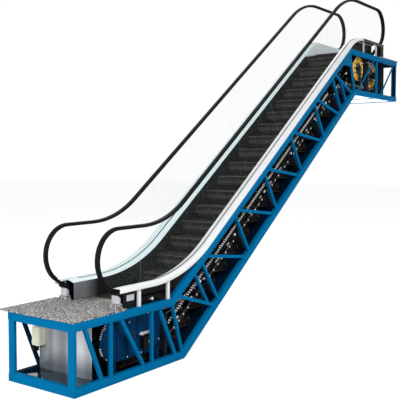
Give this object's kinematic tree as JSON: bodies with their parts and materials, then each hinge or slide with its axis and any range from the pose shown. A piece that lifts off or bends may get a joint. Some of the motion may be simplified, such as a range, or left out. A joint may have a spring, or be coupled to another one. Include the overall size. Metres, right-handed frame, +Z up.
{
  "type": "escalator",
  "caption": "Escalator with an open blue truss, white decks, clear glass balustrades, black handrails and its chain drive showing.",
  "frame": {"origin": "centre of the underside of the lower end beam", "axes": "+X along the floor in the direction of upward travel, +Y to the left of that travel, +Z up"},
  "size_m": [10.2104, 1.275, 5.9495],
  "materials": {
    "cabinet": "satin",
    "carriage": "gloss",
    "chain": "oiled",
    "comb": "satin",
    "deck_paint": "satin",
    "drive_slate": "satin",
    "drive_yellow": "gloss",
    "glass": "clear",
    "guide": "satin",
    "handrail": "satin",
    "inlet": "matte",
    "newel": "satin",
    "panel": "gloss",
    "pit": "gloss",
    "plate": "stippled",
    "roller": "matte",
    "skirt_paint": "satin",
    "soffit": "gloss",
    "step": "satin",
    "track": "galvanised",
    "truss_paint": "satin"
  },
  "bodies": {
    "root": {"balustrade_brackets": "track", "chain_wheels_left": "roller", "chain_wheels_right": "roller", "comb_lower": "comb", "comb_upper": "comb", "cross_members": "truss_paint", "deck_posts": "deck_paint", "drive_chain": "chain", "drive_machine": "drive_slate", "drive_shaft": "drive_slate", "drive_sprockets": "drive_yellow", "end_frame_lower": "truss_paint", "end_frame_upper": "truss_paint", "glass_clamp_left": "track", "glass_clamp_right": "track", "glass_left": "glass", "glass_right": "glass", "handrail_drive_hubs": "drive_slate", "handrail_drive_wheels": "drive_yellow", "handrail_guide_left": "guide", "handrail_guide_right": "guide", "handrail_inlets": "inlet", "handrail_left": "handrail", "handrail_right": "handrail", "inner_deck_left": "deck_paint", "inner_deck_right": "deck_paint", "junction_box": "cabinet", "landing_plate_lower": "plate", "landing_plate_upper": "plate", "newel_bases": "newel", "newel_housings": "inlet", "outer_deck_left": "deck_paint", "outer_deck_right": "deck_paint", "partition_panel": "panel", "pit_floor": "pit", "relay_box": "inlet", "return_shaft": "track", "return_wheels": "drive_slate", "skirt_left": "skirt_paint", "skirt_right": "skirt_paint", "soffit_incline": "soffit", "soffit_lower": "soffit", "soffit_upper": "soffit", "step_chain_left": "chain", "step_chain_right": "chain", "steps_incline": "step", "steps_lower": "step", "steps_return": "step", "steps_upper": "step", "tension_carriage": "carriage", "track_brackets": "track", "track_left": "track", "track_right": "track", "truss_left_incline": "truss_paint", "truss_left_lower": "truss_paint", "truss_left_upper": "truss_paint", "truss_right_incline": "truss_paint", "truss_right_lower": "truss_paint", "truss_right_upper": "truss_paint"}
  },
  "joints": []
}
